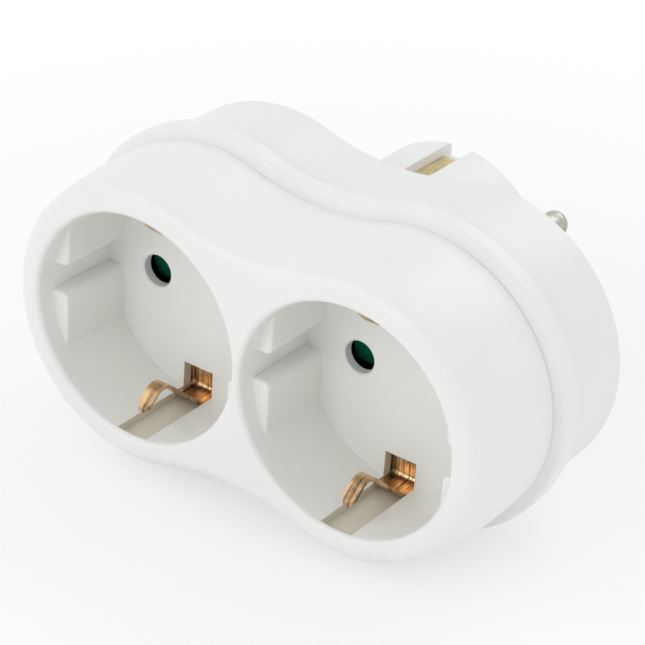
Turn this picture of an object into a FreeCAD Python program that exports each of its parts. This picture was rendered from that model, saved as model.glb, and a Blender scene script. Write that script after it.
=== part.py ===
import FreeCAD
import Part
import math
import os

# Two-way earthed socket adapter, in millimetres.
# Origin: centre of the plug's end face, which meets the floor of a wall socket.
# X runs along the two sockets, +Y is the way the plug points, +Z is up.
# The depths below count from the rear face of the housing; main() moves the origin.

# Housing outline: two round lobes joined by a shallow waist
well_gap = 1.7
rim_width = 5.7
waist_dip = 3.15
collar_step = 2.0
collar_round = 0.9
face_edge = 3.0
flank_lean = 10.0
flank_rise = 0.9
edge_softness = 0.3

# Housing depths, from the front face to the back
front_side = 19.5
collar_width = 4.0
rear_side = 16.2
groove_depth = 0.3
rear_edge = 0.6

# Walls
side_wall = 2.0
face_wall = 2.0
back_wall = 2.0
well_wall = 2.1
floor_wall = 1.9
lip_wall = 1.3
lip_length = 2.7

# Socket wells
well_radius = 19.5
well_depth = 17.8
mouth_round = 0.9
key_height = 3.2
key_start = 3.6
key_groove = 5.0
key_groove_shift = 1.1
key_soft = 1.2
key_edge = 0.6
pin_spacing = 19.0
entry_radius = 2.8
entry_flare = 0.3
earth_slot_width = 5.9
earth_slot_depth = 5.0
earth_groove = 1.2

# Plug
plug_play = 1.5
plug_length = 21.0
plug_edge = 1.0
plug_flat_depth = 2.0
plug_rib = 4.4
plug_rib_shift = 1.2
plug_slot_width = 4.4
plug_slot_depth = 2.7
plug_wall = 2.0
plug_end_wall = 3.0
pin_radius = 2.4
pin_length = 19.0
pin_boss_wall = 1.6
pin_neck_radius = 2.1
pin_seat = 0.1

# Shutters
boss_radius = 2.0
boss_length = 6.5
shutter_gap = 0.4
shutter_thickness = 2.4
hub_radius = 3.8
blade_radius = 13.2
blade_width = 6.8
blade_ramp = 1.5
ramp_start = -2.4
arm_reach = 7.6
stop_x = 6.0
stop_z = 4.2
stop_radius = 0.7
peg_radius = 0.6
peg_height = 1.0
peg_distance = 5.6

# Shutter springs and retainers
spring_wire = 0.3
spring_radius = 2.6
spring_turns = 2.25
spring_pitch = 0.34
leg_reach = 6.5
leg_tail = 0.7
retainer_radius = 3.7
retainer_thickness = 0.5

# Earth parts
earth_gap = 0.15
earth_thickness = 0.8
earth_eye = 4.8
tongue_thickness = 0.6
tongue_width = 2.4
ledge_drop = 0.05
ledge_reach = 1.8
taper_start = 2.2
taper_end = 3.7
lower_hump = 7.5
upper_hump = 5.7
hump_reach = 10.4
hump_bend = 3.0
tongue_reach = 14.6
tip_return = 3.7
link_width = 3.8
bracket_gap = 0.6
strip_setback = 2.4
tab_reach = 5.8
rivet_radius = 0.8
rivet_head = 1.5
rivet_head_height = 0.25

# Contact carrier
carrier_gap = 0.7
carrier_thickness = 1.6
carrier_clearance = 1.0
chamber_half = 4.2
chamber_wall = 0.9
chamber_length = 7.8

# Live and neutral parts
bar_thickness = 0.7
bar_inner = 5.0
bar_outer = 9.0
tab_half = 3.1
channel_depth = 0.5
clip_thickness = 0.5
clip_height = 5.0
clip_length = 7.7
clip_mouth = 3.5
clip_grip = 2.25

# Screws
screw_radius = 1.5
screw_length = 16.5
screw_head_radius = 2.8
screw_head_height = 1.8
screw_sink = 0.6
screw_boss_wall = 1.5
recess_width = 0.8
recess_depth = 0.9

# Clearances
fit = 0.1
press = 0.02
turn_fit = 0.06

lobe_spacing = 2 * well_radius + well_gap
side_radius = well_radius + rim_width
waist_half = side_radius - waist_dip
collar_radius = side_radius + collar_step
plug_radius = well_radius - plug_play
plug_flat = plug_radius - plug_flat_depth
plug_slot_floor = plug_radius - plug_slot_depth
half_spacing = lobe_spacing / 2
half_pins = pin_spacing / 2
waist_square = half_spacing ** 2 + waist_half ** 2 - side_radius ** 2
waist_arc = waist_square / (2 * (side_radius - waist_half))
waist_centre = waist_half + waist_arc

face_y = -(front_side + collar_width + rear_side)
groove_y = face_y + front_side
joint_y = groove_y + collar_width
floor_y = face_y + well_depth
floor_back = floor_y + floor_wall
stirrup_y = floor_back + earth_gap
link_y = stirrup_y + earth_thickness
shutter_y = link_y + shutter_gap
shutter_back = shutter_y + shutter_thickness
boss_end = floor_back + boss_length
carrier_y = boss_end + carrier_gap
carrier_back = carrier_y + carrier_thickness
bar_back = -back_wall + channel_depth
bar_y = bar_back - bar_thickness
clip_y = bar_y - clip_thickness
bracket_y = carrier_back + bracket_gap
strip_end = plug_length - strip_setback
cavity_radius = side_radius - side_wall
tube_radius = well_radius + well_wall
lip_radius = cavity_radius + lip_wall - side_wall / 4
screw_reach = cavity_radius - screw_head_radius - screw_boss_wall + fit / 2
key_distance = well_radius - key_height
earth_slot_inner = well_radius - earth_slot_depth
ledge_height = well_radius - ledge_drop
strip_half = plug_slot_width / 2 - fit
strip_top = plug_slot_floor + earth_thickness


def vec(x, y, z):
    return FreeCAD.Vector(x, y, z)


def box(x0, x1, y0, y1, z0, z1):
    return Part.makeBox(x1 - x0, y1 - y0, z1 - z0, vec(x0, y0, z0))


def rod(x, z, radius, y0, y1):
    return Part.makeCylinder(radius, y1 - y0, vec(x, y0, z), vec(0, 1, 0))


def fused(shapes):
    return shapes[0].fuse(shapes[1:]).removeSplitter()


def moved(shape, x):
    copy = shape.copy()
    copy.translate(vec(x, 0, 0))
    return copy


def flipped(shape):
    return shape.mirror(vec(0, 0, 0), vec(0, 0, 1))


def turned(shape):
    """The same shape turned half a turn about the axis of the plug."""
    copy = shape.copy()
    copy.rotate(vec(0, 0, 0), vec(0, 1, 0), 180)
    return copy


def polar(x, z, radius, angle, y):
    return vec(x + radius * math.cos(angle), y, z + radius * math.sin(angle))


def outline(radius, y):
    """Closed outline of the two lobes and the waist, parallel to the side wall."""
    arc = waist_arc - (radius - side_radius)
    lean = math.atan2(waist_centre, -half_spacing)
    right_top = polar(half_spacing, 0, radius, lean, y)
    right_low = vec(right_top.x, y, -right_top.z)
    left_top = vec(-right_top.x, y, right_top.z)
    left_low = vec(-right_top.x, y, -right_top.z)
    high = vec(0, y, waist_centre - arc)
    low = vec(0, y, arc - waist_centre)
    edges = [
        Part.Arc(right_low, vec(half_spacing + radius, y, 0), right_top).toShape(),
        Part.Arc(right_top, high, left_top).toShape(),
        Part.Arc(left_top, vec(-half_spacing - radius, y, 0), left_low).toShape(),
        Part.Arc(left_low, low, right_low).toShape(),
    ]
    return Part.Wire(edges)


def lobed(radius, y0, y1):
    return Part.Face(outline(radius, y0)).extrude(vec(0, y1 - y0, 0))


def profile_face(pieces, place):
    """Face from pieces of two points (line) or three points (arc), each (radius, y)."""
    edges = []
    for piece in pieces:
        points = [place(radius, y) for radius, y in piece]
        maker = Part.LineSegment if len(points) == 2 else Part.Arc
        edges.append(maker(*points).toShape())
    return Part.Face(Part.Wire(edges))


def swept_outline(pieces, core):
    """Solid whose section all round the outline is the given profile."""
    lean = math.atan2(waist_centre, -half_spacing)
    reach = side_radius + waist_arc
    spread = 2 * (lean - math.pi / 2)
    parts = []
    for side in (1, -1):
        start = -lean if side > 0 else math.pi - lean

        def on_lobe(radius, y):
            return polar(side * half_spacing, 0, radius, start, y)

        def on_waist(radius, y):
            angle = side * math.pi / 2 - spread / 2
            return polar(0, -side * waist_centre, reach - radius, angle, y)

        lobe_axis = vec(side * half_spacing, 0, 0)
        lobe = profile_face(pieces, on_lobe)
        parts.append(lobe.revolve(lobe_axis, vec(0, -1, 0), math.degrees(2 * lean)))
        waist_axis = vec(0, 0, -side * waist_centre)
        waist = profile_face(pieces, on_waist)
        parts.append(waist.revolve(waist_axis, vec(0, -1, 0), math.degrees(spread)))
    depths = [y for piece in pieces for radius, y in piece]
    parts.append(lobed(core, min(depths), max(depths)))
    return fused(parts)


def arc_between(start, end, bulge):
    """Three points of an arc from start to end, bulging by the given height."""
    dx, dy = end[0] - start[0], end[1] - start[1]
    length = math.hypot(dx, dy)
    middle = ((start[0] + end[0]) / 2, (start[1] + end[1]) / 2)
    top = (middle[0] + bulge * dy / length, middle[1] - bulge * dx / length)
    return [start, top, end]


def front_form():
    """Outer form of the cover: soft front edge, thin groove line, raised collar."""
    lean = math.radians(flank_lean)
    flank_run = flank_rise / math.tan(lean / 2)
    centre_radius = side_radius - flank_rise - face_edge * math.cos(lean)
    core = centre_radius - face_wall

    def edge_point(angle):
        radius = centre_radius + face_edge * math.cos(angle)
        return (radius, face_y + face_edge - face_edge * math.sin(angle))

    face = (centre_radius, face_y)
    shoulder = edge_point(lean)
    flank = (side_radius, shoulder[1] + flank_run)
    bow = flank_rise / math.sin(lean / 2) / 2 * math.tan(lean / 4)
    groove = (side_radius - groove_depth, groove_y + groove_depth)
    rise = (collar_radius - collar_round, groove[1] + groove_depth)
    crest = (collar_radius, rise[1] + collar_round)
    rim = (collar_radius, joint_y - edge_softness)
    heel = (collar_radius - edge_softness, joint_y)
    pieces = [
        [(core, face_y), face],
        [face, edge_point((lean + math.pi / 2) / 2), shoulder],
        arc_between(shoulder, flank, bow),
        [flank, (side_radius, groove_y)],
        [(side_radius, groove_y), groove],
        [groove, rise],
        arc_between(rise, crest, collar_round * 0.29),
        [crest, rim],
        arc_between(rim, heel, edge_softness * 0.29),
        [heel, (core, joint_y)],
        [(core, joint_y), (core, face_y)],
    ]
    return swept_outline(pieces, core)


def rear_form():
    """Outer form of the rear housing with its softened rear edge."""
    core = side_radius - 3 * rear_edge
    edge_start = (side_radius, -rear_edge)
    edge_end = (side_radius - rear_edge, 0)
    pieces = [
        [(core, joint_y), (side_radius, joint_y)],
        [(side_radius, joint_y), edge_start],
        arc_between(edge_start, edge_end, rear_edge * 0.29),
        [edge_end, (core, 0)],
        [(core, 0), (core, joint_y)],
    ]
    return swept_outline(pieces, core)


def well_cut():
    """The space of one socket well, about X = 0."""
    mouth = [
        [(0, face_y), (well_radius + mouth_round, face_y)],
        arc_between(
            (well_radius + mouth_round, face_y),
            (well_radius, face_y + mouth_round),
            -mouth_round * 0.29,
        ),
        [(well_radius, face_y + mouth_round), (well_radius, floor_y)],
        [(well_radius, floor_y), (0, floor_y)],
        [(0, floor_y), (0, face_y)],
    ]
    space = profile_face(mouth, lambda radius, y: vec(radius, y, 0))
    space = space.revolve(vec(0, 0, 0), vec(0, 1, 0), 360)
    for side in (1, -1):
        space = space.cut(key_blocks(side))
    return space


def key_blocks(side):
    """Two guide blocks of one side of a well, with a soft-edged groove between them."""
    near, far = sorted((side * key_distance, side * 2 * well_radius))
    key = box(near, far, face_y + key_start, floor_y, -well_radius, well_radius)
    low = -key_groove / 2 - side * key_groove_shift
    high = low + key_groove
    blocks = key.cut(box(near, far, face_y, floor_y, low, high))
    face_x = side * key_distance
    lips = []
    for edge in blocks.Edges:
        size = edge.BoundBox
        on_face = abs(size.XMin - face_x) + abs(size.XMax - face_x) < 1e-6
        on_groove = min(abs(size.ZMin - low), abs(size.ZMax - high)) < 1e-6
        if on_face and on_groove and size.ZLength < 1e-6:
            lips.append(edge)
    blocks = blocks.makeFillet(key_soft, lips)
    front = [edge for edge in blocks.Edges if on_key_front(edge.BoundBox, face_x)]
    return blocks.makeFillet(key_edge, front)


def on_key_front(size, face_x):
    """True for the front edges of a guide block that stand inside the well."""
    start = face_y + key_start
    flat = abs(size.YMin - start) + abs(size.YMax - start) < 1e-6
    at_face = min(abs(size.XMin - face_x), abs(size.XMax - face_x)) < key_soft + 1e-6
    return flat and at_face and max(abs(size.ZMin), abs(size.ZMax)) < 2 * well_radius


def earth_cuts():
    """Grooves and floor slots that the earth tongues stand in, about X = 0."""
    half = earth_slot_width / 2
    outer = well_radius + earth_groove
    upper = box(-half, half, face_y + mouth_round, floor_back, earth_slot_inner, outer)
    return [upper, flipped(upper)]


def entry_cuts():
    """Pin holes in the floor of one well, about X = 0."""
    cuts = []
    for side in (1, -1):
        x = side * half_pins
        cuts.append(rod(x, 0, entry_radius, floor_y, floor_back))
        flare = Part.makeCone(
            entry_radius + entry_flare, entry_radius, entry_flare, vec(x, floor_y, 0), vec(0, 1, 0)
        )
        cuts.append(flare)
    return cuts


def screw_places():
    reach = screw_reach / math.sqrt(2)
    return [
        (side * (half_spacing + reach), up * reach)
        for side in (1, -1)
        for up in (1, -1)
    ]


def front_cover():
    """Outer moulding: face with two round mouths, side wall and collar."""
    shell = front_form().cut(lobed(cavity_radius, face_y + face_wall, joint_y))
    cuts = [lobed(lip_radius + fit, joint_y - lip_length - fit, joint_y)]
    for side in (1, -1):
        for cut in [well_cut()] + earth_cuts():
            cuts.append(moved(cut, side * half_spacing))
    return shell.cut(cuts)


def socket(side):
    """One well behind the face: tube, floor, guide blocks, shutter boss and screw bosses."""
    x = side * half_spacing
    places = [place for place in screw_places() if place[0] * side > 0]
    body = [
        rod(x, 0, tube_radius, face_y + face_wall, floor_back),
        rod(x, 0, boss_radius, floor_back, boss_end),
        rod(x + stop_x, stop_z, stop_radius, floor_back, shutter_back),
    ]
    for screw_x, screw_z in places:
        boss = screw_radius + screw_boss_wall
        body.append(rod(screw_x, screw_z, boss, floor_back, carrier_y))
    near, far = sorted((0, -side * tube_radius))
    cuts = [box(near, far, face_y, floor_back, -tube_radius, tube_radius)]
    for cut in [well_cut()] + earth_cuts() + entry_cuts():
        cuts.append(moved(cut, x))
    for screw_x, screw_z in places:
        cuts.append(rod(screw_x, screw_z, screw_radius + press, floor_back + fit, carrier_y))
    return fused(body).cut(cuts)


def bar_pair(shape):
    return [shape, turned(shape)]


def bar_shape(grow):
    """Strip that joins one contact of each socket to a plug pin."""
    inner_x = half_spacing - half_pins
    outer_x = half_spacing + half_pins
    start = -max(inner_x, half_pins) - tab_half - grow
    end = -min(inner_x, half_pins) + tab_half + grow
    run = box(
        start, outer_x + tab_half + grow,
        bar_y, bar_back + grow, bar_inner - grow, bar_outer + grow
    )
    near = box(start, end, bar_y, bar_back + grow, -tab_half - grow, bar_outer)
    far = box(
        outer_x - tab_half - grow, outer_x + tab_half + grow,
        bar_y, bar_back + grow, -tab_half - grow, bar_outer
    )
    return fused([run, near, far])


def plug_body():
    """Round plug with two flats, a rib on each, and the earth slots."""
    body = rod(0, 0, plug_radius, -back_wall, plug_length)
    rim = [edge for edge in body.Edges if abs(edge.BoundBox.YMin - plug_length) < 1e-6]
    body = body.makeFillet(plug_edge, rim)
    half = plug_rib / 2
    for side in (1, -1):
        near, far = sorted((side * plug_flat, side * 2 * plug_radius))
        flat = box(near, far, 0, plug_length, -plug_radius, plug_radius)
        middle = -side * plug_rib_shift
        rib = box(near, far, 0, plug_length, middle - half, middle + half)
        body = body.cut(flat.cut(rib))
    return body


def plug_hollow():
    """Inside of the plug, left full under the earth slots and round the pins."""
    inner_end = plug_length - plug_end_wall
    hollow = rod(0, 0, plug_flat - plug_wall, -back_wall, inner_end)
    keep = plug_slot_width / 2 + plug_wall
    shelf = plug_slot_floor - plug_wall
    blocks = [
        box(-keep, keep, -back_wall, inner_end, shelf, plug_radius),
        box(-keep, keep, -back_wall, inner_end, -plug_radius, -shelf),
    ]
    for side in (1, -1):
        boss = pin_radius + pin_boss_wall
        blocks.append(rod(side * half_pins, 0, boss, bar_back + fit, inner_end))
    return hollow.cut(blocks)


def rear_housing():
    """Rear shell with its lip, plug body, screw tubes and channels for the bars."""
    shell = rear_form().cut(lobed(cavity_radius, joint_y, -back_wall))
    lip = lobed(lip_radius, joint_y - lip_length, joint_y + lip_length)
    lip = lip.cut(lobed(lip_radius - lip_wall, joint_y - lip_length, joint_y + lip_length))
    tubes = [
        rod(x, z, screw_head_radius + screw_boss_wall, carrier_back, -fit)
        for x, z in screw_places()
    ]
    body = fused([shell, lip, plug_body()] + tubes)
    cuts = [plug_hollow()]
    half = plug_slot_width / 2
    slot = box(-half, half, 0, plug_length, plug_slot_floor, plug_radius)
    gate = box(-half, half, -back_wall, 0, plug_slot_floor - press, strip_top + fit)
    cuts += [slot, flipped(slot), gate, flipped(gate)]
    cuts += bar_pair(bar_shape(fit))
    for side in (1, -1):
        seat = plug_length - pin_seat
        cuts.append(rod(side * half_pins, 0, pin_neck_radius + press, bar_y, plug_length))
        cuts.append(rod(side * half_pins, 0, pin_radius + fit, seat, plug_length))
    for x, z in screw_places():
        head_room = screw_head_height + screw_sink
        cuts.append(rod(x, z, screw_radius + fit, carrier_back, 0))
        cuts.append(rod(x, z, screw_head_radius + fit, -head_room, 0))
    return body.cut(cuts)


def contact_carrier():
    """Insulating plate clamped between the screw bosses, with a chamber for each contact."""
    plate = lobed(lip_radius - lip_wall - carrier_clearance, carrier_y, carrier_back)
    chambers = []
    cuts = []
    outer = chamber_half + chamber_wall
    chamber_end = carrier_back + chamber_length
    for side in (1, -1):
        for x in (side * (half_spacing - half_pins), side * (half_spacing + half_pins)):
            chambers.append(box(x - outer, x + outer, carrier_back, chamber_end, -outer, outer))
            cuts.append(
                box(
                    x - chamber_half, x + chamber_half,
                    carrier_back, chamber_end, -chamber_half, chamber_half
                )
            )
            cuts.append(rod(x, 0, entry_radius + fit, carrier_y, carrier_back))
        x, z = post_place()
        post = rod(side * half_spacing + x, z, peg_radius, shutter_back + fit, carrier_y)
        chambers.append(post)
    for x, z in screw_places():
        cuts.append(rod(x, z, screw_radius + fit, carrier_y, carrier_back))
    half = strip_half + fit
    notch_top = strip_top + earth_thickness + fit
    cuts.append(box(-half, half, carrier_y, carrier_back, strip_top - fit, notch_top))
    return fused([plate] + chambers).cut(cuts)


def shutter():
    """Rotor with two blades that cover the pin holes, about X = 0."""
    hub = rod(0, 0, hub_radius, shutter_y, shutter_back)
    half = blade_width / 2
    blade = box(-blade_radius, blade_radius, shutter_y, shutter_back, -half, half)
    blade = blade.common(rod(0, 0, blade_radius, shutter_y, shutter_back))
    points = [
        vec(hub_radius, shutter_y, half),
        vec(hub_radius, shutter_y, ramp_start),
        vec(hub_radius, shutter_y + blade_ramp, half),
        vec(hub_radius, shutter_y, half),
    ]
    ramp = Part.Face(Part.makePolygon(points)).extrude(vec(blade_radius, 0, 0))
    arm = box(-peg_radius, peg_radius, shutter_y, shutter_back, 0, arm_reach)
    peg = rod(0, peg_distance, peg_radius, shutter_back - fit, shutter_back + peg_height)
    body = fused([blade.cut([ramp, turned(ramp)]), hub, arm, peg])
    return body.cut(rod(0, 0, boss_radius + turn_fit, shutter_y, shutter_back))


def peg_side():
    """Distance of the spring's leg from the plane through the axis and the peg."""
    return spring_radius - peg_radius - spring_wire / 2


def spring_lean():
    """Angle that lays the first leg of the spring against the shutter's peg."""
    return math.degrees(math.asin(peg_side() / peg_distance))


def post_place():
    """Centre of the carrier's post that holds the second leg of the spring."""
    lean = math.radians(-spring_lean())
    x, z = -leg_reach, -peg_side()
    return (x * math.cos(lean) + z * math.sin(lean), z * math.cos(lean) - x * math.sin(lean))


def shutter_spring():
    """Small coil round the boss: one leg on the shutter's peg, one on the carrier's post."""
    start_y = shutter_back + spring_wire
    helix = Part.makeHelix(spring_pitch, spring_turns * spring_pitch, spring_radius)
    helix.rotate(vec(0, 0, 0), vec(1, 0, 0), -90)
    helix.translate(vec(0, start_y, 0))
    coil = helix.Edges[0]
    start = coil.valueAt(coil.FirstParameter)
    end = coil.valueAt(coil.LastParameter)
    first_leg = math.sqrt(peg_distance ** 2 - peg_side() ** 2) + leg_tail
    outer = start - coil.tangentAt(coil.FirstParameter) * first_leg
    last = end + coil.tangentAt(coil.LastParameter) * (leg_reach + leg_tail)
    edges = [Part.LineSegment(outer, start).toShape(), coil]
    edges.append(Part.LineSegment(end, last).toShape())
    section = Part.makeCircle(spring_wire / 2, outer, start - outer)
    spring = Part.Wire(edges).makePipeShell([Part.Wire(section)], True, True)
    spring.rotate(vec(0, 0, 0), vec(0, 1, 0), -spring_lean())
    return spring


def shutter_retainer():
    """Push-on ring that keeps the shutter on its boss, about X = 0."""
    y0 = boss_end - retainer_thickness - fit
    ring = rod(0, 0, retainer_radius, y0, y0 + retainer_thickness)
    return ring.cut(rod(0, 0, boss_radius + press, y0, y0 + retainer_thickness))


def ribbon(points, thickness):
    """Face of a bent strip seen from its side: points are (y, z, bend radius)."""
    edges = []
    last = vec(0, points[0][0], points[0][1])
    for before, here, after in zip(points, points[1:], points[2:]):
        corner = vec(0, here[0], here[1])
        into = (vec(0, before[0], before[1]) - corner).normalize()
        out = (vec(0, after[0], after[1]) - corner).normalize()
        half_angle = into.getAngle(out) / 2
        setback = here[2] / math.tan(half_angle)
        start = corner + into * setback
        end = corner + out * setback
        middle = (into + out).normalize()
        centre = corner + middle * (here[2] / math.sin(half_angle))
        top = centre - middle * here[2]
        edges.append(Part.LineSegment(last, start).toShape())
        edges.append(Part.Arc(start, top, end).toShape())
        last = end
    edges.append(Part.LineSegment(last, vec(0, points[-1][0], points[-1][1])).toShape())
    path = Part.Wire(edges)
    return path.makeOffset2D(thickness, fill=True, openResult=True)


def tongue_plan(width):
    """Outline of the tongue seen from the axis of the well: wide root, round tip."""
    half = tongue_width / 2
    wide = width / 2
    start = floor_y - taper_start
    end = floor_y - taper_end
    tip = floor_y - tongue_reach + half
    points = [(-half, tip), (-half, end), (-wide, start), (-wide, link_y)]
    points = points + [(-x, y) for x, y in reversed(points)]
    corners = [vec(x, y, 0) for x, y in points]
    edges = [Part.LineSegment(a, b).toShape() for a, b in zip(corners, corners[1:])]
    edges.append(Part.Arc(corners[-1], vec(0, tip - half, 0), corners[0]).toShape())
    return Part.Face(Part.Wire(edges))


def tongue(hump):
    """Earth tongue of one well, above its axis, standing off the wall by the given hump."""
    root = link_y - tongue_thickness
    hump_height = well_radius - hump
    tip_slope = tip_return / (tongue_reach - hump_reach)
    spare = tongue_thickness
    points = [
        (root, 0, 0),
        (root, ledge_height, 1.0),
        (floor_y - ledge_reach, ledge_height, 1.2),
        (floor_y - hump_reach, hump_height, hump_bend),
        (floor_y - tongue_reach - spare, hump_height + tip_return + spare * tip_slope, 0),
    ]
    side = ribbon(points, tongue_thickness)
    width = earth_slot_width - 2 * fit
    strip = side.extrude(vec(width, 0, 0))
    strip.translate(vec(-width / 2, 0, 0))
    return strip.common(tongue_plan(width).extrude(vec(0, 0, well_radius + 2 * earth_groove)))


def earth_stirrup():
    """Copper strip behind the floor with a tongue into the well at each end, about X = 0."""
    eye = rod(0, 0, earth_eye, stirrup_y, link_y)
    half = earth_slot_width / 2 - fit
    top = ledge_height - 2 * tongue_thickness
    spine = box(-half, half, stirrup_y, link_y, -top, top)
    body = fused([tongue(upper_hump), flipped(tongue(lower_hump)), eye, spine])
    hole = rod(0, 0, boss_radius + 3 * fit, face_y, link_y)
    rivet = rod(0, link_centre(), rivet_radius + press, stirrup_y, link_y)
    return body.cut([hole, rivet])


def link_centre():
    return earth_slot_inner + link_width / 2


def earth_link():
    """Strip that joins both stirrups, with a tab back to the earth bracket of the plug."""
    reach = half_spacing + earth_slot_width / 2
    z0 = earth_slot_inner
    back = link_y + earth_thickness
    strip = box(-reach, reach, link_y, back, z0, z0 + link_width)
    low = min(z0, strip_top)
    high = max(z0 + link_width, strip_top + earth_thickness)
    middle = box(-strip_half, strip_half, link_y, back, low, high)
    tab = box(
        -strip_half, strip_half, link_y, bracket_y + tab_reach,
        strip_top, strip_top + earth_thickness
    )
    holes = [
        rod(side * half_spacing, link_centre(), rivet_radius + press, link_y, back)
        for side in (1, -1)
    ]
    holes.append(bracket_rivet_rod(rivet_radius + press, strip_top, strip_top + earth_thickness))
    return fused([strip, middle, tab]).cut(holes)


def bracket_rivet_rod(radius, z0, z1):
    y = bracket_y + tab_reach - 2 * rivet_head
    return Part.makeCylinder(radius, z1 - z0, vec(0, y, z0), vec(0, 0, 1))


def plug_earth_bracket():
    """U-shaped brass strip whose arms lie on the floors of the plug's earth slots."""
    base = box(
        -strip_half, strip_half, bracket_y, bracket_y + earth_thickness,
        -strip_top, strip_top
    )
    arm = box(-strip_half, strip_half, bracket_y, strip_end, plug_slot_floor, strip_top)
    body = fused([base, arm, flipped(arm)])
    return body.cut(bracket_rivet_rod(rivet_radius + press, plug_slot_floor, strip_top))


def earth_rivets():
    """Rivets of the earth parts: one on each stirrup and one on the bracket."""
    rivets = []
    for side in (1, -1):
        x = side * half_spacing
        z = link_centre()
        back = link_y + earth_thickness
        shank = rod(x, z, rivet_radius, stirrup_y, back)
        front_head = rod(x, z, rivet_head, stirrup_y - rivet_head_height, stirrup_y)
        rear_head = rod(x, z, rivet_head, back, back + rivet_head_height)
        rivets.append(fused([shank, front_head, rear_head]))
    top = strip_top + earth_thickness
    low = plug_slot_floor
    rivets.append(
        fused(
            [
                bracket_rivet_rod(rivet_radius, low, top),
                bracket_rivet_rod(rivet_head, low - rivet_head_height, low),
                bracket_rivet_rod(rivet_head, top, top + rivet_head_height),
            ]
        )
    )
    return Part.makeCompound(rivets)


def live_bar():
    """Strip for the left plug pin, with a hole for the pin's riveted end."""
    return bar_shape(0).cut(rod(-half_pins, 0, pin_radius / 2 + press, bar_y, bar_back))


def spring_contact():
    """Two-leaf spring contact for one inserted pin, about X = 0."""
    foot = clip_grip + 1.5 * clip_thickness
    front = clip_y - clip_length
    grip_y = clip_y - 0.65 * clip_length
    leaves = []
    for side in (1, -1):
        def at(x, y):
            return vec(side * x, y, -clip_height / 2)
        outer = [
            at(foot, clip_y + clip_thickness),
            at(foot, clip_y - 0.3 * clip_length),
            at(clip_grip + clip_thickness, grip_y),
            at(clip_mouth + clip_thickness, front),
        ]
        inner = [
            at(clip_mouth, front),
            at(clip_grip, grip_y),
            at(foot - clip_thickness, clip_y - 0.3 * clip_length),
            at(foot - clip_thickness, clip_y + clip_thickness),
        ]
        wire = Part.makePolygon(outer + inner + [outer[0]])
        leaves.append(Part.Face(wire).extrude(vec(0, 0, clip_height)))
    half = clip_height / 2
    base = box(-foot, foot, clip_y, clip_y + clip_thickness, -half, half)
    return fused(leaves + [base])


def plug_pin():
    """Solid round pin: domed tip, slightly thinner in the plug, riveted end; X = -half_pins."""
    tip = plug_length + pin_length
    shoulder = plug_length - pin_seat
    shank = rod(-half_pins, 0, pin_radius, shoulder, tip)
    rim = [edge for edge in shank.Edges if abs(edge.BoundBox.YMin - tip) < 1e-6]
    shank = shank.makeFillet(pin_radius * 0.75, rim)
    neck = rod(-half_pins, 0, pin_neck_radius, bar_back, shoulder)
    return fused([shank, neck, rod(-half_pins, 0, pin_radius / 2, bar_y, bar_back)])


def housing_screws():
    """Cross-head screws from the back, through the carrier, into the cover."""
    screws = []
    head_y = -screw_sink - screw_head_height
    for x, z in screw_places():
        shank = rod(x, z, screw_radius, head_y - screw_length, head_y)
        head = rod(x, z, screw_head_radius, head_y, head_y + screw_head_height)
        top = head_y + screw_head_height
        reach = screw_head_radius * 0.65
        half = recess_width / 2
        bar_a = box(x - reach, x + reach, top - recess_depth, top, z - half, z + half)
        bar_b = box(x - half, x + half, top - recess_depth, top, z - reach, z + reach)
        screws.append(fused([shank, head]).cut([bar_a, bar_b]))
    return Part.makeCompound(screws)


def build_all():
    left = -half_spacing
    right = half_spacing
    contact = spring_contact()
    live = live_bar()
    pin = plug_pin()
    return {
        "front_cover": front_cover(),
        "left_socket": socket(-1),
        "right_socket": socket(1),
        "rear_housing": rear_housing(),
        "contact_carrier": contact_carrier(),
        "left_shutter": moved(shutter(), left),
        "right_shutter": moved(shutter(), right),
        "left_shutter_spring": moved(shutter_spring(), left),
        "right_shutter_spring": moved(shutter_spring(), right),
        "left_shutter_retainer": moved(shutter_retainer(), left),
        "right_shutter_retainer": moved(shutter_retainer(), right),
        "left_earth_stirrup": moved(earth_stirrup(), left),
        "right_earth_stirrup": moved(earth_stirrup(), right),
        "earth_link": earth_link(),
        "plug_earth_bracket": plug_earth_bracket(),
        "earth_rivets": earth_rivets(),
        "live_bar": live,
        "neutral_bar": turned(live),
        "left_outer_contact": moved(contact, left - half_pins),
        "left_inner_contact": moved(contact, left + half_pins),
        "right_inner_contact": moved(contact, right - half_pins),
        "right_outer_contact": moved(contact, right + half_pins),
        "left_plug_pin": pin,
        "right_plug_pin": turned(pin),
        "housing_screws": housing_screws(),
    }


def main():
    os.makedirs("parts", exist_ok=True)
    for node, shape in build_all().items():
        shape = shape.copy()
        shape.translate(vec(0, -plug_length, 0))
        solids = len(shape.Solids)
        print(node, shape.ShapeType, solids, shape.isValid(), round(shape.Volume, 2))
        shape.exportStep("parts/" + node + ".step")


main()
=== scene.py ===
import bpy
import math
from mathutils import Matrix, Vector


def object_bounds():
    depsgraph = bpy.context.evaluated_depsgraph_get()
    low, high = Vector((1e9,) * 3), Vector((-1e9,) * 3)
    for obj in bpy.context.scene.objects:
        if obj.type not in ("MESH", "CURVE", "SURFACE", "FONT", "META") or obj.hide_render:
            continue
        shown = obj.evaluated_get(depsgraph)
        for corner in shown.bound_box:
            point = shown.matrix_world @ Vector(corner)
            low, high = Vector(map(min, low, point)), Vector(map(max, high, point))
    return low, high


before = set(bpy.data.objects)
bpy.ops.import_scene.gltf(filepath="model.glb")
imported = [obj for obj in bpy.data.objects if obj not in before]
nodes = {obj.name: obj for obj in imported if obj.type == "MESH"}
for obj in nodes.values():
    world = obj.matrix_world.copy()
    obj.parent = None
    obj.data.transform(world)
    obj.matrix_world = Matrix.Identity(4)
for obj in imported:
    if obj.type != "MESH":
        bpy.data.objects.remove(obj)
cad_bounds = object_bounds()
scene = bpy.context.scene

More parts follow.
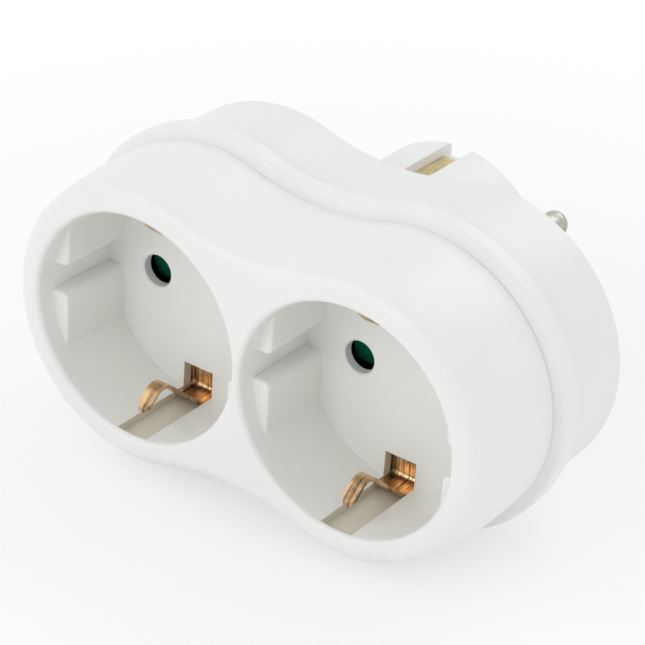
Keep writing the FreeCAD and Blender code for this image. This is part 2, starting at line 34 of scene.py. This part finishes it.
# Camera, fitted to the photograph
CAMERA_PLACE = (0.207161, -0.342874, 0.210814)
CAMERA_TURN = (58.56479, -4.53881, 34.99373)
CAMERA_LENS = 148.4169
CAMERA_SHIFT = (-0.110671, 0.122031)
FRAME_WIDTH = 36.0

# Colours, linear
FRONT_WHITE = (0.90, 0.90, 0.89, 1.0)
WELL_WHITE = (0.897, 0.902, 0.87, 1.0)
REAR_WHITE = (0.87, 0.872, 0.88, 1.0)
# Painted shade: a darker, warmer colour on the walls of the well grooves and floor slots, standing
# in for the shade and warm bounce in these recesses
GROOVE_PAINTED_SHADE = (0.78, 0.74, 0.64, 1.0)
INNER_BLACK = (0.03, 0.03, 0.03, 1.0)
SHUTTER_GREEN = (0.006, 0.17, 0.095, 1.0)
COPPER = (0.72, 0.47, 0.26, 1.0)
BRASS = (0.74, 0.62, 0.36, 1.0)
NICKEL = (0.50, 0.49, 0.45, 1.0)
STEEL = (0.55, 0.55, 0.55, 1.0)

# Surroundings: the floor's shadow fades to white between two distances, metres
WORLD_STRENGTH = 0.74
FLOOR_COLOUR = (0.97, 0.97, 0.97, 1.0)
FLOOR_HALF = 3.0
SHADOW_NEAR = 0.05
SHADOW_FAR = 0.17
SHADOW_FADE = 0.55

# Lamps: name, place, target, size and power, in metres and watts
LAMPS = [
    ("front", (-0.2, -1.1, 0.6), (0, -0.04, 0), 0.5, 1.6),
    ("left", (-0.8, -0.9, 0.7), (0, -0.04, 0), 0.6, 1.3),
    ("back", (0.1, 0.8, 0.8), (0, -0.04, 0), 0.8, 1.8),
    ("right", (0.9, 0.1, 0.3), (0, -0.03, 0), 0.5, 0.45),
]

# Plastics: noise per metre, height of the grain and reach of the light inside, metres
TONE_SCALE = 60.0
WORN_SCALE = 240.0
GRAIN_SCALE = 5200.0
GRAIN_HEIGHT = 0.00004
GLOW_REACH = (0.002, 0.002, 0.0018)

# Metals: noise of the stains per metre, and the share of lines and stains in the tone
STAIN_SCALE = 420.0
LINE_SHARE = 0.7
STAIN_SHARE = 0.3

# Sizes of the wells, their grooves and their floor slots, metres
WELL_SPACING = 0.0407
WELL_RADIUS = 0.0195
WELL_DEPTH = 0.0178
MOUTH_ROUND = 0.0009
GROOVE_WIDTH = 0.0059
GROOVE_DEPTH = 0.0016
SLOT_DEPTH = 0.005
SKIN = 0.00005


def new_material(name):
    """A node material with its tree, its Principled shader and a shared object coordinate."""
    material = bpy.data.materials.new(name)
    material.use_nodes = True
    tree = material.node_tree
    shader = tree.nodes["Principled BSDF"]
    place = tree.nodes.new("ShaderNodeTexCoord").outputs["Object"]
    return material, tree, shader, place


def noise(tree, place, scale, detail=3.0, roughness=0.5):
    node = tree.nodes.new("ShaderNodeTexNoise")
    node.inputs["Scale"].default_value = scale
    node.inputs["Detail"].default_value = detail
    node.inputs["Roughness"].default_value = roughness
    tree.links.new(place, node.inputs["Vector"])
    return node.outputs["Fac"]


def ramp(tree, source, stops):
    """Colour ramp over (position, colour) stops."""
    node = tree.nodes.new("ShaderNodeValToRGB")
    elements = node.color_ramp.elements
    while len(elements) > 1:
        elements.remove(elements[-1])
    elements[0].position, elements[0].color = stops[0]
    for position, colour in stops[1:]:
        elements.new(position).color = colour
    tree.links.new(source, node.inputs["Fac"])
    return node.outputs["Color"]


def grey(value):
    return (value, value, value, 1.0)


def scaled(colour, factor):
    return tuple(min(1.0, c * factor) for c in colour[:3]) + (1.0,)


def bump(tree, shader, height, strength, distance):
    node = tree.nodes.new("ShaderNodeBump")
    node.inputs["Strength"].default_value = strength
    node.inputs["Distance"].default_value = distance
    tree.links.new(height, node.inputs["Height"])
    tree.links.new(node.outputs["Normal"], shader.inputs["Normal"])


def moulded_plastic(name, colour, gloss, grain, subsurface=0.0, grooves=False):
    """Moulded plastic: fine satin grain, gloss and tone that vary slightly, and, when grooves is
    set, painted shade on the walls of the grooves and floor slots.
    """
    material, tree, shader, place = new_material(name)
    tone = noise(tree, place, TONE_SCALE, 2.0)
    stops = [(0.3, scaled(colour, 0.985)), (0.7, scaled(colour, 1.01))]
    shade = ramp(tree, tone, stops)
    # Painted shade: the walls of the grooves and floor slots take the darker, warmer groove colour
    if grooves:
        mix = tree.nodes.new("ShaderNodeMixRGB")
        tree.links.new(painted_groove_shade_share(tree, place), mix.inputs["Fac"])
        tree.links.new(shade, mix.inputs["Color1"])
        mix.inputs["Color2"].default_value = GROOVE_PAINTED_SHADE
        shade = mix.outputs["Color"]
    tree.links.new(shade, shader.inputs["Base Color"])
    worn = noise(tree, place, WORN_SCALE, 4.0)
    stops = [(0.3, grey(gloss - 0.04)), (0.7, grey(gloss + 0.05))]
    tree.links.new(ramp(tree, worn, stops), shader.inputs["Roughness"])
    fine = noise(tree, place, GRAIN_SCALE, 2.0)
    bump(tree, shader, fine, grain, GRAIN_HEIGHT)
    shader.inputs["IOR"].default_value = 1.5
    shader.inputs["Subsurface Weight"].default_value = subsurface
    shader.inputs["Subsurface Radius"].default_value = GLOW_REACH
    return material


def math_node(tree, operation, first, second=None):
    """Math node over two inputs, each a socket or a number."""
    node = tree.nodes.new("ShaderNodeMath")
    node.operation = operation
    for index, value in enumerate((first, second)):
        if value is None:
            continue
        if isinstance(value, float):
            node.inputs[index].default_value = value
        else:
            tree.links.new(value, node.inputs[index])
    return node.outputs[0]


def painted_groove_shade_share(tree, place):
    """Where shade is painted: 1 on the walls of the earth tongues' grooves and floor slots, and 0
    elsewhere.
    """
    split = tree.nodes.new("ShaderNodeSeparateXYZ")
    tree.links.new(place, split.inputs["Vector"])
    x, y, z = split.outputs
    from_well = math_node(tree, "SUBTRACT", math_node(tree, "ABSOLUTE", x), WELL_SPACING / 2)
    across = math_node(tree, "ABSOLUTE", from_well)
    square_x = math_node(tree, "MULTIPLY", across, across)
    square_z = math_node(tree, "MULTIPLY", z, z)
    reach = math_node(tree, "SQRT", math_node(tree, "ADD", square_x, square_z))
    face_y = cad_bounds[0].y
    groove = [
        math_node(tree, "GREATER_THAN", reach, WELL_RADIUS + SKIN),
        math_node(tree, "GREATER_THAN", y, face_y + MOUTH_ROUND),
    ]
    slot = [
        math_node(tree, "GREATER_THAN", reach, WELL_RADIUS - SLOT_DEPTH - SKIN),
        math_node(tree, "GREATER_THAN", y, face_y + WELL_DEPTH + SKIN),
    ]
    either = math_node(
        tree, "MAXIMUM",
        math_node(tree, "MULTIPLY", *groove),
        math_node(tree, "MULTIPLY", *slot),
    )
    near = math_node(
        tree, "MULTIPLY",
        math_node(tree, "LESS_THAN", across, GROOVE_WIDTH / 2 + SKIN),
        math_node(tree, "LESS_THAN", reach, WELL_RADIUS + GROOVE_DEPTH),
    )
    return math_node(tree, "MULTIPLY", either, near)


def drawn_metal(name, colour, dull, gloss, scale, stretch, relief=0.00003):
    """Drawn metal: lines along one direction, darker in the lines and in the stains."""
    material, tree, shader, place = new_material(name)
    mapping = tree.nodes.new("ShaderNodeMapping")
    mapping.inputs["Scale"].default_value = stretch
    tree.links.new(place, mapping.inputs["Vector"])
    lines = noise(tree, mapping.outputs["Vector"], scale, 2.0)
    stain = noise(tree, place, STAIN_SCALE, 4.0, 0.6)
    line_part = math_node(tree, "MULTIPLY", lines, LINE_SHARE)
    stain_part = math_node(tree, "MULTIPLY", stain, STAIN_SHARE)
    both = math_node(tree, "ADD", line_part, stain_part)
    stops = [(0.36, scaled(colour, dull)), (0.5, scaled(colour, 0.9)), (0.62, scaled(colour, 1.15))]
    tree.links.new(ramp(tree, both, stops), shader.inputs["Base Color"])
    stops = [(0.3, grey(gloss + 0.16)), (0.7, grey(gloss))]
    tree.links.new(ramp(tree, lines, stops), shader.inputs["Roughness"])
    bump(tree, shader, lines, 0.6, relief)
    shader.inputs["Metallic"].default_value = 1.0
    return material


def dress(node, material):
    """Gives a CAD node its material."""
    piece = nodes[node]
    if not piece.data.materials:
        piece.data.materials.append(material)
    for index in range(len(piece.data.materials)):
        piece.data.materials[index] = material


def dress_all():
    # The front and well plastics carry painted shade on the walls of the grooves and floor slots
    front = moulded_plastic("front_plastic", FRONT_WHITE, 0.34, 0.25, 0.15, True)
    well = moulded_plastic("well_plastic", WELL_WHITE, 0.34, 0.25, 0.4, True)
    rear = moulded_plastic("rear_plastic", REAR_WHITE, 0.36, 0.25, 0.15)
    inner = moulded_plastic("inner_plastic", INNER_BLACK, 0.5, 0.3)
    green = moulded_plastic("shutter_plastic", SHUTTER_GREEN, 0.16, 0.15)
    copper = drawn_metal("copper", COPPER, 0.22, 0.16, 2600.0, (1.0, 0.03, 0.03), 0.00015)
    brass = drawn_metal("brass", BRASS, 0.6, 0.22, 1500.0, (1.0, 0.04, 0.04))
    nickel = drawn_metal("nickel", NICKEL, 0.8, 0.34, 2200.0, (0.2, 1.0, 0.2), 0.00002)
    steel = drawn_metal("steel", STEEL, 0.7, 0.3, 900.0, (1.0, 1.0, 1.0))
    dress("front_cover", front)
    dress("rear_housing", rear)
    dress("contact_carrier", inner)
    for side in ("left", "right"):
        dress(side + "_socket", well)
        dress(side + "_shutter", green)
        dress(side + "_shutter_spring", steel)
        dress(side + "_shutter_retainer", steel)
        dress(side + "_earth_stirrup", copper)
        dress(side + "_plug_pin", nickel)
        dress(side + "_inner_contact", brass)
        dress(side + "_outer_contact", brass)
    for node in ("earth_link", "plug_earth_bracket", "earth_rivets", "live_bar", "neutral_bar"):
        dress(node, brass)
    dress("housing_screws", steel)


def add_camera():
    data = bpy.data.cameras.new("camera")
    data.sensor_width = FRAME_WIDTH
    data.lens = CAMERA_LENS
    data.shift_x, data.shift_y = CAMERA_SHIFT
    data.clip_start = 0.01
    camera = bpy.data.objects.new("camera", data)
    camera.location = CAMERA_PLACE
    camera.rotation_euler = [math.radians(a) for a in CAMERA_TURN]
    scene.collection.objects.link(camera)
    scene.camera = camera


def add_lamp(name, place, target, size, power):
    data = bpy.data.lights.new(name, "AREA")
    data.shape = "DISK"
    data.size = size
    data.energy = power
    lamp = bpy.data.objects.new(name, data)
    lamp.location = place
    aim = Vector(target) - Vector(place)
    lamp.rotation_mode = "QUATERNION"
    lamp.rotation_quaternion = aim.to_track_quat("-Z", "Y")
    scene.collection.objects.link(lamp)


def seen_rays(tree):
    """1 for rays that show a surface: straight, mirrored or through glass."""
    path = tree.nodes.new("ShaderNodeLightPath").outputs
    direct = math_node(tree, "MAXIMUM", path["Is Camera Ray"], path["Is Glossy Ray"])
    return math_node(tree, "MAXIMUM", direct, path["Is Transmission Ray"])


def mix_shaders(tree, share, lit, seen, output):
    mix = tree.nodes.new("ShaderNodeMixShader")
    tree.links.new(share, mix.inputs[0])
    tree.links.new(lit.outputs[0], mix.inputs[1])
    tree.links.new(seen.outputs[0], mix.inputs[2])
    tree.links.new(mix.outputs[0], output.inputs["Surface"])


def add_world():
    """Even studio surround that the camera and glossy rays see as white."""
    world = bpy.data.worlds.new("studio")
    world.use_nodes = True
    tree = world.node_tree
    background = tree.nodes["Background"]
    background.inputs["Color"].default_value = (1.0, 1.0, 1.0, 1.0)
    background.inputs["Strength"].default_value = WORLD_STRENGTH
    seen = tree.nodes.new("ShaderNodeBackground")
    seen.inputs["Color"].default_value = (1.0, 1.0, 1.0, 1.0)
    seen.inputs["Strength"].default_value = 1.0
    mix_shaders(tree, seen_rays(tree), background, seen, tree.nodes["World Output"])
    scene.world = world


def add_floor():
    """Pale floor: its shadow shows near the object and fades to white further out."""
    low = cad_bounds[0].z
    mesh = bpy.data.meshes.new("floor")
    ends = [(-1, -1), (1, -1), (1, 1), (-1, 1)]
    corners = [(x * FLOOR_HALF, y * FLOOR_HALF, low) for x, y in ends]
    mesh.from_pydata(corners, [], [(0, 1, 2, 3)])
    floor = bpy.data.objects.new("floor", mesh)
    scene.collection.objects.link(floor)
    material, tree, shader, place = new_material("floor")
    shader.inputs["Base Color"].default_value = FLOOR_COLOUR
    shader.inputs["Roughness"].default_value = 0.9
    white = tree.nodes.new("ShaderNodeEmission")
    white.inputs["Strength"].default_value = 1.0
    reach = tree.nodes.new("ShaderNodeVectorMath")
    reach.operation = "LENGTH"
    tree.links.new(place, reach.inputs[0])
    fade = tree.nodes.new("ShaderNodeMapRange")
    fade.interpolation_type = "SMOOTHSTEP"
    tree.links.new(reach.outputs["Value"], fade.inputs["Value"])
    fade.inputs["From Min"].default_value = SHADOW_NEAR
    fade.inputs["From Max"].default_value = SHADOW_FAR
    fade.inputs["To Min"].default_value = SHADOW_FADE
    fade.inputs["To Max"].default_value = 1.0
    share = math_node(tree, "MULTIPLY", fade.outputs["Result"], seen_rays(tree))
    mix_shaders(tree, share, shader, white, tree.nodes["Material Output"])
    mesh.materials.append(material)


add_camera()
add_world()
add_floor()
for lamp_values in LAMPS:
    add_lamp(*lamp_values)
dress_all()

scene.view_settings.view_transform = "Standard"
